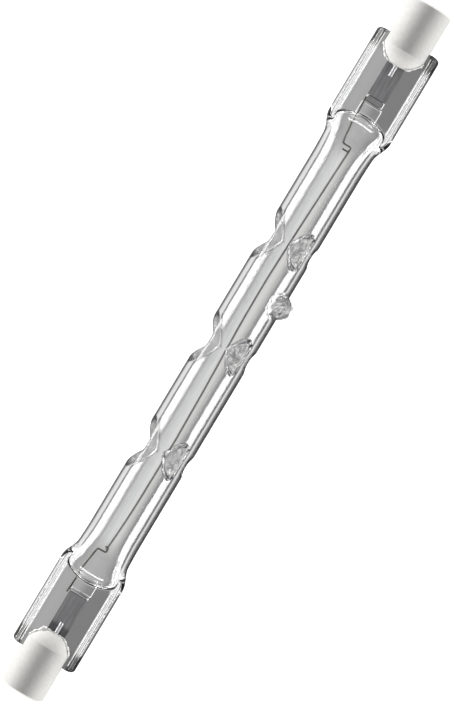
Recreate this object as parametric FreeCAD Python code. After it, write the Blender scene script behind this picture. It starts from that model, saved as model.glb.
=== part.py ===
import FreeCAD, Part
import math
import os

# Double-ended linear halogen lamp, in millimetres.
# +X runs along the lamp, the flat seals lie in the XY plane, +Z is up.
# The origin is on the lamp's axis, midway between the two contacts.

# Lengths along the lamp, from its ends inwards
CONTACT_SPAN = 114.2      # between the two contact faces
RECESS_DEPTH = 1.7        # of a contact face below the end of its cap
CAP_LENGTH = 10.0
SEAL_SEAT = 3.8           # how far a flat seal reaches into its cap
SEAL_LENGTH = 12.7        # from the bulb's shoulder to the seal's end
NECK_LENGTH = 8.9         # over which the round tube turns flat

# Quartz tube
TUBE_DIAMETER = 8.25
TUBE_WALL = 1.0
NECK_END_WIDTH = 9.4      # across the bulb where it meets the flat seal
NECK_END_WALL = 0.7       # glass between the bulb's hollow and its shoulder
SLIT_HEIGHT = 0.24        # the hollow where it ends as a flat slit
NECK_STEPS = 6

# Dents that keep the filament on the axis
DENT_PITCH = 17.9
DENT_STATIONS = 3
DENT_FLOOR = 2.2          # length of a dent's floor along the lamp
DENT_APART = 106.0        # degrees round the tube, between a station's two dents on the -Y side
DENT_CURVE = 3.3          # radius of a dent's floor across the lamp
DENT_SLOPE = 53.0         # degrees, of the dent's end slopes
DENT_ROUND = 0.5          # between floor and slope
DENT_RIM_ROUND = 0.4      # between a dent and the tube's outside

# Exhaust tip, where the lamp was filled and closed
TIP_PLACE = 9.3           # from the lamp's middle
TIP_ANGLE = 35.0          # degrees, from the seal's plane up
TIP_DIAMETER = 3.8
TIP_HEIGHT = 2.4
TIP_SHOULDER = 0.9        # height at which the tip starts to close
TIP_TAPER = 0.2           # loss of radius up to that height
TIP_FOOT_ROUND = 0.4
TIP_SWELL = 0.22          # how far its closing flank stands out from a straight cone
NIB_DIAMETER = 0.9        # of the half-round bead at its end
TIP_BORE = 2.2            # of the closed filling hole, half way out to the bulb's wall
TIP_BORE_END = 0.4        # of the same hole, where it closes
TIP_CLOSED = 1.1          # solid glass above that hole

# Flat seals
SEAL_WIDTH = 10.5
WEB_THICKNESS = 2.2
RAIL_WIDTH = 1.25
RAIL_THICKNESS = 3.4
RAIL_SLOPE = 0.3          # sideways run of a rail's inner flank
RAIL_ROUND = 0.5
SHOULDER_LENGTH = 1.5     # over which the rails grow out of the neck
SHOULDER_LEAD = 1.6       # rails reach full width this far before the seal starts
SEAL_CORNER = 0.5

# Filament and conductors
COIL_DIAMETER = 0.4
COIL_PLAY = 0.25          # between the coil and the dented wall
COIL_BARE = 0.6           # lead left bare between coil and bend
TAIL_DIAMETER = 0.2       # cut end of the filament's wire
TAIL_REACH = 0.65
LEAD_DIAMETER = 0.28
LEAD_REACH = 4.9          # of an inner lead into the bulb, from the shoulder
LEAD_STEP = 1.05          # sideways step of an inner lead at its bend
LEAD_BEND = 0.25
LEAD_PLUG = 1.4           # length of an inner lead inside the coil
FOIL_WIDTH = 3.0
FOIL_THICKNESS = 0.05
FOIL_START = 0.7          # from the shoulder to the foil
FOIL_LENGTH = 9.9
INNER_WELD = 1.3          # overlap of inner lead and foil
OUTER_WELD = 3.6          # overlap of outer lead and foil
OUTER_LEAD_DIAMETER = 0.65
POCKET_LENGTH = 1.8       # unfused slit round the foil's inner end
POCKET_WIDTH = 3.5
POCKET_HEIGHT = 0.36
POCKET_CORNER = 0.5

# Ceramic caps
CAP_DIAMETER = 7.0
CAP_EDGE = 0.3
NOSE_LENGTH = 2.1
NOSE_DIAMETER = 3.2
NOSE_BULGE = 0.22         # how far the nose's flank stands out from a straight cone
CEMENT_GAP = 0.1
LEAD_HOLE = 1.1
RECESS_DIAMETER = 4.0
RECESS_EDGE = 0.2

# Contact buttons, let into the recess's floor
CONTACT_DIAMETER = 3.2
CONTACT_THICKNESS = 0.6
CONTACT_DOME = 0.15
SHANK_DIAMETER = 1.5
SHANK_LENGTH = 2.2
SHANK_BORE_DEPTH = 1.6

# Places worked out from the sizes above, all on the +X half
contact_face = CONTACT_SPAN / 2
cap_end = contact_face + RECESS_DEPTH
cap_nose = cap_end - CAP_LENGTH
seal_end = cap_nose + SEAL_SEAT
shoulder = seal_end - SEAL_LENGTH
tube_end = shoulder - NECK_LENGTH
hollow_end = shoulder - NECK_END_WALL
foil_start = shoulder + FOIL_START
foil_end = foil_start + FOIL_LENGTH
lead_bend = shoulder - LEAD_REACH
coil_end = lead_bend - COIL_BARE
contact_seat = contact_face - CONTACT_THICKNESS
shank_end = contact_seat - SHANK_LENGTH
slot_end = seal_end + CEMENT_GAP

tube_radius = TUBE_DIAMETER / 2
bore_radius = tube_radius - TUBE_WALL
cap_radius = CAP_DIAMETER / 2
lead_radius = LEAD_DIAMETER / 2
web_half = WEB_THICKNESS / 2
slot_half = web_half + CEMENT_GAP
dent_reach = COIL_DIAMETER / 2 + COIL_PLAY + TUBE_WALL + DENT_CURVE

TOUCH = 1e-6              # places closer than this are the same place
NEAR = 1e-3               # the same, for curves where two round faces meet
EDGE_SAMPLES = 5
ORIGIN = FreeCAD.Vector(0, 0, 0)
ALONG = FreeCAD.Vector(1, 0, 0)
ACROSS = FreeCAD.Vector(0, 1, 0)
UP = FreeCAD.Vector(0, 0, 1)
# Turns a curve drawn in the XY plane to stand across the lamp, with its X on +Y
CROSSWISE = FreeCAD.Rotation(ACROSS, UP, ALONG, "XYZ")


def point(x, y=0.0, z=0.0):
    return FreeCAD.Vector(x, y, z)


def rod(start, end, radius):
    """A round bar along the lamp's axis."""
    return Part.makeCylinder(radius, end - start, point(start), ALONG)


def block(start, end, width, low, high):
    """A box that is centred across the lamp."""
    corner = point(start, -width / 2, low)
    return Part.makeBox(end - start, width, high - low, corner)


def turned(edges):
    """The solid that a closed outline in the XY plane sweeps round the X axis."""
    return Part.Face(Part.Wire(edges)).revolve(ORIGIN, ALONG, 360)


def lines(points):
    return [Part.makeLine(a, b) for a, b in zip(points, points[1:])]


def bulged(start, end, bulge):
    """An arc that stands out from the straight line between two points, to its left."""
    ahead = (end - start).normalize()
    return Part.Arc(start, (start + end) * 0.5 + point(-ahead.y, ahead.x) * bulge, end).toShape()


def crown(rim, top):
    """Half the outline of a ball-shaped crown, from its rim to its top on the X axis."""
    rise = top.x - rim.x
    ball = (rim.y ** 2 + rise ** 2) / (2 * rise)
    middle_turn = math.atan2(rim.y, ball - rise) / 2
    middle = point(top.x - ball + ball * math.cos(middle_turn), ball * math.sin(middle_turn))
    return Part.Arc(rim, middle, top).toShape()


def mirrored(shape):
    return shape.mirror(ORIGIN, ALONG)


def edges_near(shape, wanted):
    """The edges whose middle passes a test."""
    return [edge for edge in shape.Edges if wanted(edge.CenterOfMass)]


def oval(place, half_width, half_height):
    """An ellipse across the lamp."""
    edge = Part.Edge(Part.Ellipse(ORIGIN, half_width, half_height))
    edge.Placement = FreeCAD.Placement(point(place), CROSSWISE)
    return Part.Wire([edge])


def neck(end, radius, end_width, end_height):
    """The tube's end, domed in side view while it spreads sideways."""
    sections = []
    for step in range(NECK_STEPS + 1):
        turn = math.pi / 2 * step / NECK_STEPS
        along = math.sin(turn)
        half_width = radius + (end_width / 2 - radius) * along ** 2
        half_height = end_height / 2 + (radius - end_height / 2) * math.cos(turn)
        place = tube_end + (end - tube_end) * along
        sections.append(oval(place, half_width, half_height))
    return Part.makeLoft(sections, True, False)


def dent(grown):
    """A bevelled wheel that presses one dent; grown by the wall it shapes the bore."""
    radius = DENT_CURVE + grown
    slope = math.radians(DENT_SLOPE)
    half_floor = DENT_FLOOR / 2 + grown * math.tan(slope / 2)
    half_length = half_floor + radius / math.tan(slope)
    outline = [
        point(-half_length),
        point(-half_floor, radius),
        point(half_floor, radius),
        point(half_length),
        point(-half_length),
    ]
    wheel = turned(lines(outline))
    corners = [e for e in wheel.Edges if e.Length > math.pi * radius]
    return wheel.makeFillet(DENT_ROUND + grown, corners)


def dents(grown):
    """All dents: at each station one on the +Y side and two on the -Y side."""
    wheels = []
    for station in range(DENT_STATIONS):
        place = (station - (DENT_STATIONS - 1) / 2) * DENT_PITCH
        for turn in (0, 180 - DENT_APART / 2, 180 + DENT_APART / 2):
            angle = math.radians(turn)
            wheel = dent(grown)
            wheel.translate(point(place, dent_reach * math.cos(angle), dent_reach * math.sin(angle)))
            wheels.append(wheel)
    return wheels


def dented_tube(radius, grown):
    """The straight tube with all its dents, for the outside or for the bore."""
    return rod(-tube_end, tube_end, radius).cut(dents(grown))


def on_tube(edge):
    """Whether a curved edge runs on the tube's outside, away from the tube's ends."""
    if edge.Degenerated:
        return False
    places = edge.discretize(EDGE_SAMPLES)
    clear_of_ends = all(abs(p.x) < tube_end - TOUCH for p in places)
    on_surface = all(abs(math.hypot(p.y, p.z) - tube_radius) < NEAR for p in places)
    return clear_of_ends and on_surface and not isinstance(edge.Curve, Part.Line)


def with_necks(tube, radius, end, end_width, end_height):
    right_neck = neck(end, radius, end_width, end_height)
    return tube.fuse([right_neck, mirrored(right_neck)])


def at_tip(shape):
    """Moves a shape that was turned about X so that it stands on the tube as its tip."""
    shape.rotate(ORIGIN, UP, -90)
    shape.rotate(ORIGIN, ALONG, -TIP_ANGLE)
    shape.translate(point(TIP_PLACE))
    return shape


def exhaust_tip():
    """The melted-off filling tube: a squat cone that closes to a small nib."""
    root = bore_radius / 2
    foot_radius = TIP_DIAMETER / 2
    root_radius = foot_radius + (tube_radius - TUBE_WALL / 2 - root) * TIP_TAPER / (TIP_SHOULDER + TUBE_WALL / 2)
    top = tube_radius + TIP_HEIGHT
    brow = point(tube_radius + TIP_SHOULDER, foot_radius - TIP_TAPER)
    nib_foot = point(top - NIB_DIAMETER / 2, NIB_DIAMETER / 2)
    edges = lines([point(top), point(root), point(root, root_radius), brow])
    edges.append(bulged(brow, nib_foot, TIP_SWELL))
    edges.append(crown(nib_foot, point(top)))
    return at_tip(turned(edges))


def tip_bore():
    """The filling hole that the tip closes."""
    start = bore_radius / 2
    length = tube_radius + TIP_HEIGHT - TIP_CLOSED - start
    cone = Part.makeCone(TIP_BORE / 2, TIP_BORE_END / 2, length, point(start), ALONG)
    return at_tip(cone)


def seal_blank():
    """The +X flat seal: a thin web between two thicker rails, as the jaws press it."""
    half = SEAL_WIDTH / 2
    inner = half - RAIL_WIDTH
    rail_half = RAIL_THICKNESS / 2
    start = shoulder - SHOULDER_LEAD - SHOULDER_LENGTH
    upper = [(inner - RAIL_SLOPE, web_half), (inner, rail_half), (half, rail_half)]
    side = upper + [(y, -z) for y, z in reversed(upper)]
    ring = side + [(-y, -z) for y, z in side]
    corners = [point(start, y, z) for y, z in ring + ring[:1]]
    section = Part.Face(Part.makePolygon(corners))
    bar = section.extrude(ALONG * (seal_end - start))
    long_edges = edges_near(bar, lambda c: start + TOUCH < c.x < seal_end - TOUCH)
    outer_edges = [edge for edge in long_edges if abs(edge.CenterOfMass.y) > half - TOUCH]
    bar = bar.makeFillet(RAIL_ROUND, outer_edges)
    neck_half = NECK_END_WIDTH / 2 - TUBE_WALL / 2
    outline = [
        point(start, neck_half, -rail_half),
        point(start + SHOULDER_LENGTH, half, -rail_half),
        point(seal_end - SEAL_CORNER, half, -rail_half),
        point(seal_end, half - SEAL_CORNER, -rail_half),
    ]
    outline += [point(c.x, -c.y, c.z) for c in reversed(outline)]
    plan = Part.Face(Part.makePolygon(outline + outline[:1])).extrude(UP * RAIL_THICKNESS)
    return bar.common(plan)


def pocket():
    """The flat slit in the +X seal where the glass did not close on the foil's end."""
    end = shoulder + POCKET_LENGTH
    start = hollow_end - TUBE_WALL
    slit = block(start, end, POCKET_WIDTH, -POCKET_HEIGHT / 2, POCKET_HEIGHT / 2)
    end_edges = edges_near(slit, lambda c: c.x > end - TOUCH and abs(c.z) < TOUCH)
    return slit.makeFillet(POCKET_CORNER, end_edges)


def seal_foil():
    """The +X foil; its upper face lies in the seal's middle plane."""
    return block(foil_start, foil_end, FOIL_WIDTH, -FOIL_THICKNESS, 0)


def inner_lead():
    """The +X bent wire: plugged into the coil, stepped aside, and flattened on the foil."""
    weld_end = foil_start + INNER_WELD
    weld_side = FOIL_WIDTH / 2 - lead_radius
    corners = [
        point(coil_end - LEAD_PLUG),
        point(lead_bend),
        point(lead_bend, LEAD_STEP),
        point(weld_end, weld_side),
    ]
    wire = bent_wire(corners, LEAD_BEND, lead_radius)
    return wire.cut(block(foil_start, weld_end + LEAD_DIAMETER, 2 * FOIL_WIDTH, -LEAD_DIAMETER, 0))


def bent_wire(corners, bend, radius):
    """A round wire in the XY plane along straight runs joined by tangent arcs."""
    edges = []
    start = corners[0]
    for before, corner, after in zip(corners, corners[1:], corners[2:]):
        back = (before - corner).normalize()
        ahead = (after - corner).normalize()
        half_turn = (math.pi - back.getAngle(ahead)) / 2
        inset = bend * math.tan(half_turn)
        inward = (back + ahead).normalize()
        middle = corner + inward * (bend / math.cos(half_turn) - bend)
        edges.append(Part.makeLine(start, corner + back * inset))
        edges.append(Part.Arc(corner + back * inset, middle, corner + ahead * inset).toShape())
        start = corner + ahead * inset
    edges.append(Part.makeLine(start, corners[-1]))
    ring = Part.Wire([Part.makeCircle(radius, corners[0], corners[1] - corners[0])])
    return Part.Wire(edges).makePipeShell([ring], True, False)


def outer_lead():
    """The +X thick wire from the foil to the contact, flattened where it is welded."""
    weld_start = foil_end - OUTER_WELD
    wire = rod(weld_start, shank_end + SHANK_BORE_DEPTH, OUTER_LEAD_DIAMETER / 2)
    return wire.cut(block(weld_start, foil_end, FOIL_WIDTH, -OUTER_LEAD_DIAMETER, 0))


def cap_blank():
    """The +X cap before its slot and holes are cut: a cylinder with a rounded nose."""
    nose_corner = point(cap_nose, NOSE_DIAMETER / 2)
    nose_end = point(cap_nose + NOSE_LENGTH, cap_radius)
    edges = [bulged(nose_corner, nose_end, NOSE_BULGE)]
    edges += lines([
        nose_end,
        point(cap_end - CAP_EDGE, cap_radius),
        point(cap_end, cap_radius - CAP_EDGE),
        point(cap_end),
        point(cap_nose),
        nose_corner,
    ])
    return turned(edges)


def cap_slot():
    """The slot across the +X cap that takes the seal's web and its cement."""
    return block(cap_nose - NOSE_LENGTH, slot_end, 2 * CAP_DIAMETER, -slot_half, slot_half)


def end_cap():
    recess_radius = RECESS_DIAMETER / 2
    recess = rod(contact_face, cap_end, recess_radius)
    mouth = Part.makeCone(recess_radius, recess_radius + RECESS_EDGE, RECESS_EDGE,
                          point(cap_end - RECESS_EDGE), ALONG)
    seat = rod(contact_seat, contact_face, CONTACT_DIAMETER / 2)
    shank_hole = rod(shank_end, contact_seat, SHANK_DIAMETER / 2)
    lead_hole = rod(slot_end, shank_end, LEAD_HOLE / 2)
    return cap_blank().cut([cap_slot(), recess, mouth, seat, shank_hole, lead_hole])


def cement():
    """The thin bed that holds the +X cap on the seal's web."""
    bed = cap_blank().common(cap_slot())
    web = block(cap_nose - NOSE_LENGTH, seal_end, 2 * CAP_DIAMETER, -web_half, web_half)
    return bed.cut([web, outer_lead()])


def contact():
    """The +X contact button with its hollow shank."""
    rim = point(contact_face - CONTACT_DOME, CONTACT_DIAMETER / 2)
    edges = lines([
        point(contact_face),
        point(shank_end),
        point(shank_end, SHANK_DIAMETER / 2),
        point(contact_seat, SHANK_DIAMETER / 2),
        point(contact_seat, CONTACT_DIAMETER / 2),
        rim,
    ])
    button = turned(edges + [crown(rim, point(contact_face))])
    return button.cut(rod(shank_end, shank_end + SHANK_BORE_DEPTH, OUTER_LEAD_DIAMETER / 2))


def filament_coil():
    """The wound filament as one hollow rod, with the wire's cut end standing up at both ends."""
    coil = rod(-coil_end, coil_end, COIL_DIAMETER / 2)
    tail = Part.makeCylinder(TAIL_DIAMETER / 2, TAIL_REACH, point(coil_end - TAIL_DIAMETER), ACROSS)
    coil = coil.fuse([tail, mirrored(tail)])
    return coil.cut(rod(-coil_end, coil_end, lead_radius))


def quartz_envelope(conductors):
    barrel = dented_tube(tube_radius, 0.0)
    rims = [edge for edge in barrel.Edges if on_tube(edge)]
    barrel = barrel.makeFillet(DENT_RIM_ROUND, rims)
    tip = exhaust_tip()
    barrel = barrel.fuse(tip)
    tip_foot = [edge for edge in barrel.Edges if on_tube(edge) and tip.distToShape(edge)[0] < NEAR]
    barrel = barrel.makeFillet(TIP_FOOT_ROUND, tip_foot)
    outside = with_necks(barrel, tube_radius, shoulder, NECK_END_WIDTH, WEB_THICKNESS)
    seal = seal_blank()
    outside = outside.fuse([seal, mirrored(seal)])
    bore = dented_tube(bore_radius, TUBE_WALL)
    hollow_width = NECK_END_WIDTH - 2 * TUBE_WALL
    hollow = with_necks(bore, bore_radius, hollow_end, hollow_width, SLIT_HEIGHT)
    slit = pocket()
    hollow = hollow.fuse([slit, mirrored(slit), tip_bore()])
    return outside.cut(hollow).cut(conductors)


pieces = {}
conductors = []
makers = {
    "end_cap": end_cap,
    "contact": contact,
    "cement": cement,
    "seal_foil": seal_foil,
    "outer_lead": outer_lead,
    "inner_lead": inner_lead,
}
for name, maker in makers.items():
    right_piece = maker()
    pieces["right_" + name] = right_piece
    pieces["left_" + name] = mirrored(right_piece)
for side in ("left_", "right_"):
    for name in ("seal_foil", "outer_lead", "inner_lead"):
        conductors.append(pieces[side + name])
pieces["filament_coil"] = filament_coil()
pieces["quartz_envelope"] = quartz_envelope(conductors)

os.makedirs("parts", exist_ok=True)
for name, shape in pieces.items():
    solids = shape.Solids
    print(name, "solids", len(solids), "volume", round(shape.Volume, 3), "valid", shape.isValid())
    shape.exportStep("parts/" + name + ".step")
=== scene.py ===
# %% [markdown]
# This lesson dresses a double-ended linear halogen lamp: a clear quartz tube with pressed dents,
# a wound filament on its axis, flat pinched seals with metal foils, and white ceramic end caps.
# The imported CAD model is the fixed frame. Every piece made here is placed by the CAD's own sizes,
# so nothing has to be fitted by eye.

# %% Load the frame
import math
from collections import namedtuple

import bpy
import numpy as np
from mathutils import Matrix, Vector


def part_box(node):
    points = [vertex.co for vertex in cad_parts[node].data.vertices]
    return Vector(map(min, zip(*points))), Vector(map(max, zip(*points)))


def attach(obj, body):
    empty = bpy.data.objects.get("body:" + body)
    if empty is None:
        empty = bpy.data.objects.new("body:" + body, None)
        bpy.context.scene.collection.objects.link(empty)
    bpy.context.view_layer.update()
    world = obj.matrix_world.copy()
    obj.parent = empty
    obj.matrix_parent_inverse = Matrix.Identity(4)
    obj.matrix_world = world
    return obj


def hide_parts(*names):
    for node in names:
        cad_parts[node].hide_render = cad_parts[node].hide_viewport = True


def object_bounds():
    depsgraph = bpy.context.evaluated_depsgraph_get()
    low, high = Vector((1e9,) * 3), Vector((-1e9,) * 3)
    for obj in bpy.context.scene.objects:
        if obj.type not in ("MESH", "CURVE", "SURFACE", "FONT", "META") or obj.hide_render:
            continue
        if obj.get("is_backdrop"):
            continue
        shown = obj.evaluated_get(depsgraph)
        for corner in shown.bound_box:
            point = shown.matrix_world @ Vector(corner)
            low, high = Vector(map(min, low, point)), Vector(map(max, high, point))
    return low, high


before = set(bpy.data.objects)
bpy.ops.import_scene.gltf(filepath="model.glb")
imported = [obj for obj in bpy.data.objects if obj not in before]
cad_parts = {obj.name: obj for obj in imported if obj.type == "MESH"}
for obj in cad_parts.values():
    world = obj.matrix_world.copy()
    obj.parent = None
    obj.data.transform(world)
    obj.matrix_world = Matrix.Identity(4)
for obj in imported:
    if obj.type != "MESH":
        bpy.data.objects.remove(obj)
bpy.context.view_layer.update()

scene = bpy.context.scene
MM = 0.001

# %% [markdown]
# The camera looks straight down on the lamp, which lies at a slant across the picture. A camera in
# Blender looks along its own -Z with its own X to the right, so one turn about Z sets the slant.
# The distance follows from the height of the picture in millimetres and from the lens: a long lens
# from further away keeps both ends the same size.

# %% Camera
IMAGE_HEIGHT_MM = 103.3
LENS_MM = 180.0
SENSOR_MM = 36.0
SLANT_DEG = -59.05
CENTRE_MM = (-0.08, -0.13)

camera_data = bpy.data.cameras.new("camera")
camera_data.lens = LENS_MM
camera_data.sensor_width = SENSOR_MM
camera_data.clip_start = 0.01
camera = bpy.data.objects.new("camera", camera_data)
camera.location = (CENTRE_MM[0] * MM, CENTRE_MM[1] * MM, IMAGE_HEIGHT_MM * LENS_MM / SENSOR_MM * MM)
camera.rotation_euler = (0.0, 0.0, math.radians(SLANT_DEG))
scene.collection.objects.link(camera)
scene.camera = camera
print("camera height in mm", round(camera.location.z / MM, 1))

# %% [markdown]
# A material is a small graph of nodes. The first helper adds one node to a graph. The others start a
# material with its main shader and hand out textures that read Object coordinates, so a pattern
# stays where it is on the piece from any side.

# %% Material helpers
def add_node(tree, kind, inputs=None, **settings):
    """A new node with its settings, and with its inputs set to values or linked to sockets."""
    node = tree.nodes.new(kind)
    for name, value in settings.items():
        setattr(node, name, value)
    for socket, value in (inputs or {}).items():
        if isinstance(value, bpy.types.NodeSocket):
            tree.links.new(value, node.inputs[socket])
        else:
            node.inputs[socket].default_value = value
    return node


def new_material(name, **sockets):
    material = bpy.data.materials.new(name)
    material.use_nodes = True
    shader = material.node_tree.nodes["Principled BSDF"]
    for socket, value in sockets.items():
        shader.inputs[socket.replace("_", " ")].default_value = value
    return material, material.node_tree, shader


def noise_on(tree, scale, detail=3.0, stretch=(1.0, 1.0, 1.0)):
    """Noise in cycles per metre on the piece's own coordinates."""
    place = add_node(tree, "ShaderNodeTexCoord")
    mapping = add_node(tree, "ShaderNodeMapping", {"Vector": place.outputs["Object"], "Scale": stretch})
    noise = add_node(tree, "ShaderNodeTexNoise", {
        "Vector": mapping.outputs["Vector"], "Scale": scale, "Detail": detail})
    return noise.outputs["Fac"]


def ramp_on(tree, factor, stops):
    """A colour ramp with (place, grey or colour) stops."""
    ramp = add_node(tree, "ShaderNodeValToRGB", {"Fac": factor})
    elements = ramp.color_ramp.elements
    elements.remove(elements[1])
    elements[0].position = stops[0][0]
    for place, _ in stops[1:]:
        elements.new(place)
    for element, (_, colour) in zip(elements, stops):
        rgb = colour if isinstance(colour, tuple) else (colour,) * 3
        element.color = (*rgb, 1.0)
    return ramp.outputs["Color"]


def bump_on(tree, shader, height, distance, strength=1.0, under=None):
    inputs = {"Height": height, "Distance": distance, "Strength": strength}
    if under:
        inputs["Normal"] = under.outputs["Normal"]
    bump = add_node(tree, "ShaderNodeBump", inputs)
    tree.links.new(bump.outputs["Normal"], shader.inputs["Normal"])
    return bump


def mottled(name, noise, stops, bump=None, **sockets):
    """A material whose colour follows a noise, and whose surface does too where a bump is given."""
    material, tree, shader = new_material(name, **sockets)
    grain = noise_on(tree, *noise)
    tree.links.new(ramp_on(tree, grain, stops), shader.inputs["Base Color"])
    if bump:
        bump_on(tree, shader, grain, *bump)
    return material


helpers = (add_node, new_material, noise_on, ramp_on, bump_on, mottled)
print("material helpers", [f.__name__ for f in helpers])

# %% [markdown]
# Some finishes change from place to place on the lamp. The helpers below do sums in a material,
# blend smoothly between two places in millimetres, run a colour ramp across a stretch of them, and
# join colours or shaders.

# %% Helpers for places
def math_node(tree, operation, a, b=0.0):
    """One Math node; a and b are numbers or sockets."""
    return add_node(tree, "ShaderNodeMath", {0: a, 1: b}, operation=operation).outputs[0]


def eased_range(tree, value, start, end, low, high, unit=MM):
    """Runs smoothly from low to high while a value goes from start to end, in mm unless told."""
    node = add_node(tree, "ShaderNodeMapRange", {
        "Value": value, "From Min": start * unit, "From Max": end * unit, "To Min": low, "To Max": high,
    }, interpolation_type="SMOOTHSTEP")
    return node.outputs["Result"]


def ramp_across(tree, value, stops_mm):
    """A colour ramp whose stops are places in millimetres."""
    low, high = stops_mm[0][0], stops_mm[-1][0]
    share = add_node(tree, "ShaderNodeMapRange", {
        "Value": value, "From Min": low * MM, "From Max": high * MM})
    stops = [((place - low) / (high - low), colour) for place, colour in stops_mm]
    return ramp_on(tree, share.outputs["Result"], stops)


def places_in(tree):
    """The piece's own X, Y and Z, as three sockets."""
    place = add_node(tree, "ShaderNodeTexCoord")
    return add_node(tree, "ShaderNodeSeparateXYZ", {0: place.outputs["Object"]}).outputs


def mixed(tree, share, a, b):
    """Colour a where the share is 0 and colour b where it is 1."""
    node = add_node(tree, "ShaderNodeMix", {"Factor": share, "A": a, "B": b}, data_type="RGBA")
    return node.outputs["Result"]


def product(tree, a, b):
    """Two colours multiplied."""
    return add_node(tree, "ShaderNodeVectorMath", {0: a, 1: b}, operation="MULTIPLY").outputs[0]


def choose(tree, share, a, b):
    """Ends a material with shader a where the share is 0 and shader b where it is 1."""
    choice = add_node(tree, "ShaderNodeMixShader", {0: share, 1: a.outputs[0], 2: b.outputs[0]})
    tree.links.new(choice.outputs[0], tree.nodes["Material Output"].inputs["Surface"])


helpers = (math_node, eased_range, ramp_across, places_in, mixed, product, choose)
print("place helpers", [f.__name__ for f in helpers])

# %% [markdown]
# The lamp lies on a white table. It is one large square under the tube.

# %% Floor
FLOOR_Z_MM = -4.125
FLOOR_HALF = 1.5

floor_mesh = bpy.data.meshes.new("floor")
floor_square = ((-1, -1), (1, -1), (1, 1), (-1, 1))
floor_corners = [(x * FLOOR_HALF, y * FLOOR_HALF, FLOOR_Z_MM * MM) for x, y in floor_square]
floor_mesh.from_pydata(floor_corners, [], [(0, 1, 2, 3)])
floor = bpy.data.objects.new("floor", floor_mesh)
scene.collection.objects.link(floor)
floor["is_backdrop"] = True
print("floor at z", FLOOR_Z_MM, "mm")

# %% [markdown]
# Glass and metal see the table with a painted shadow of the lamp on it, and that painted shadow draws
# the grey middle and the dark edge lines of clear glass on a white ground. It has one profile across
# the lamp under the tube, one under the necks, one under the seals and one under the seals' ends, and
# they blend along the lamp.

# %% Painted shadow under the lamp
paper, tree, shader = new_material("white_table", Base_Color=(0.9, 0.9, 0.9, 1.0), Roughness=0.9)
axes = places_in(tree)
along = math_node(tree, "ABSOLUTE", axes["X"])
# painted shadow: grey profiles across the lamp stand in for its shadow on the table
tube_shadow = ramp_across(tree, axes["Y"], [
    (-6.0, 0.78), (-2.6, 0.76), (-2.4, 0.20), (-1.95, 0.26), (-1.6, 0.42),
    (-1.0, (0.60, 0.595, 0.575)), (-0.3, 0.69), (0.4, 0.70), (1.0, (0.60, 0.615, 0.61)), (1.7, 0.53),
    (2.0, 0.40), (2.4, 0.32), (2.6, 0.5), (3.4, 0.62), (4.2, 0.78), (6.0, 0.8)])
neck_shadow = ramp_across(tree, axes["Y"], [
    (-6.0, 0.9), (-4.0, 0.9), (-3.4, 0.22), (-1.5, 0.36), (0.4, 0.43), (2.0, 0.38), (3.4, 0.3),
    (4.0, 0.9), (6.0, 0.9)])
seal_shadow = ramp_across(tree, axes["Y"], [
    (-6.0, 0.95), (-4.5, 0.95), (-4.1, 0.19), (-0.6, 0.20), (0.6, 0.36), (3.0, 0.40), (4.1, 0.36),
    (4.5, 0.95), (6.0, 0.95)])
end_shadow = ramp_across(tree, axes["Y"], [
    (-6.0, 0.9), (-5.3, 0.9), (-4.9, 0.14), (-0.6, 0.17), (0.6, 0.36), (4.1, 0.3), (4.9, 0.25),
    (5.3, 0.9), (6.0, 0.9)])
shadow = mixed(tree, eased_range(tree, along, 32.0, 36.5, 0.0, 1.0), tube_shadow, neck_shadow)
shadow = mixed(tree, eased_range(tree, along, 39.0, 40.2, 0.0, 1.0), shadow, seal_shadow)
at_end = eased_range(tree, along, 49.6, 50.8, 0.0, 1.0)
shadow = mixed(tree, at_end, shadow, end_shadow)
print("nodes for the shadow", len(tree.nodes))

# %% [markdown]
# Rays that leave the glass at a slant look past the painted shadow, at a table painted white as if
# lit, which draws bright glints on rounded glass. On the seals, up to their ends, any slant counts,
# and from the necks outwards a strong slant along the lamp does too.

# %% Painted light past the shadow
LIT_TABLE = 0.93
slant = add_node(tree, "ShaderNodeLayerWeight", {"Blend": 0.5})
sideways = eased_range(tree, slant.outputs["Facing"], 0.04, 0.12, 0.0, 1.0, unit=1.0)
on_seal = math_node(tree, "SUBTRACT", eased_range(tree, along, 38.0, 39.5, 0.0, 1.0), at_end)
ray = add_node(tree, "ShaderNodeNewGeometry")
ray_axes = add_node(tree, "ShaderNodeSeparateXYZ", {0: ray.outputs["Incoming"]})
lengthways = math_node(tree, "ABSOLUTE", ray_axes.outputs["X"])
lengthways = eased_range(tree, lengthways, 0.25, 0.45, 0.0, 1.0, unit=1.0)
on_neck = eased_range(tree, along, 33.0, 35.0, 0.0, 1.0)
lit = math_node(tree, "MAXIMUM", math_node(tree, "MULTIPLY", sideways, on_seal),
                math_node(tree, "MULTIPLY", lengthways, on_neck))
# painted light: slanted rays see the table as lit white
shadow = mixed(tree, lit, shadow, (LIT_TABLE, LIT_TABLE, LIT_TABLE, 1.0))
print("table nodes so far", len(tree.nodes))
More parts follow.
